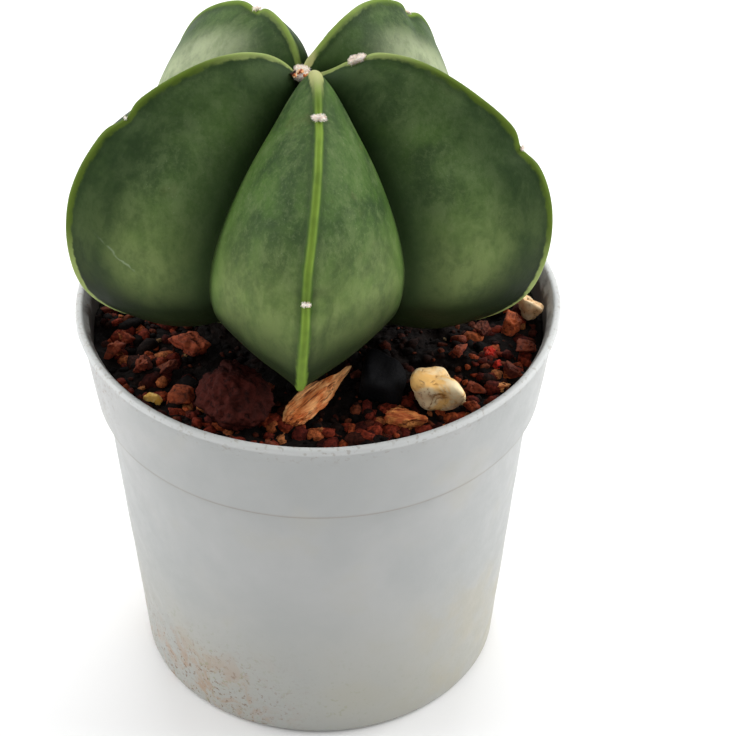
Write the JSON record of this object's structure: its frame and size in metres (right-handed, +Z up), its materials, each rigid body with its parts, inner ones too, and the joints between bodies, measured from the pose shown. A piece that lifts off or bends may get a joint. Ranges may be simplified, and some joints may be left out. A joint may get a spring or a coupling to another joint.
{
  "type": "potted bishops cap cactus",
  "caption": "Squat ribbed spineless cactus with woolly areoles, standing in dark gritty soil in a small tapered nursery pot with a collared rim and drain holes.",
  "frame": {"origin": "centre of the pot's foot, on the surface it stands on", "axes": "+Z up, the rib in front faces -Y"},
  "size_m": [0.055, 0.055, 0.0823],
  "materials": {
    "pot": "satin moulded plastic",
    "soil": "loose dark peat mix",
    "stem": "waxy green skin",
    "wool": "felted wool",
    "cream_stone": "matt pumice",
    "tan_stone": "matt grit",
    "slate": "smooth dark stone",
    "peat": "rough peat",
    "bark": "rough bark",
    "lava": "rough porous grit"
  },
  "bodies": {
    "root": {"areole_back_left_1": "wool", "areole_back_left_2": "wool", "areole_back_right_1": "wool", "areole_back_right_2": "wool", "areole_front_1": "wool", "areole_front_2": "wool", "areole_left_1": "wool", "areole_left_2": "wool", "areole_right_1": "wool", "areole_right_2": "wool", "bark_chip": "bark", "bark_flake": "bark", "brown_nugget": "bark", "cactus_stem": "stem", "cream_pebble": "cream_stone", "crown_wool": "wool", "granule_01": "lava", "granule_02": "lava", "granule_03": "lava", "granule_04": "lava", "granule_05": "lava", "granule_06": "lava", "granule_07": "lava", "granule_08": "lava", "granule_09": "lava", "granule_10": "lava", "granule_11": "lava", "granule_12": "lava", "granule_13": "lava", "granule_14": "lava", "granule_15": "lava", "granule_16": "lava", "lava_corner": "lava", "lava_edge": "lava", "lava_flat": "lava", "lava_front": "lava", "lava_inner": "lava", "lava_left": "lava", "lava_long": "lava", "lava_middle": "lava", "lava_pair": "lava", "lava_right": "lava", "lava_rim": "lava", "lava_shade": "lava", "orange_chip": "bark", "peat_lump": "peat", "pot": "pot", "red_chip": "lava", "red_crumb": "lava", "red_grain": "lava", "slate_stone": "slate", "soil": "soil", "straw_grain": "tan_stone", "tan_pebble": "tan_stone"}
  },
  "joints": []
}
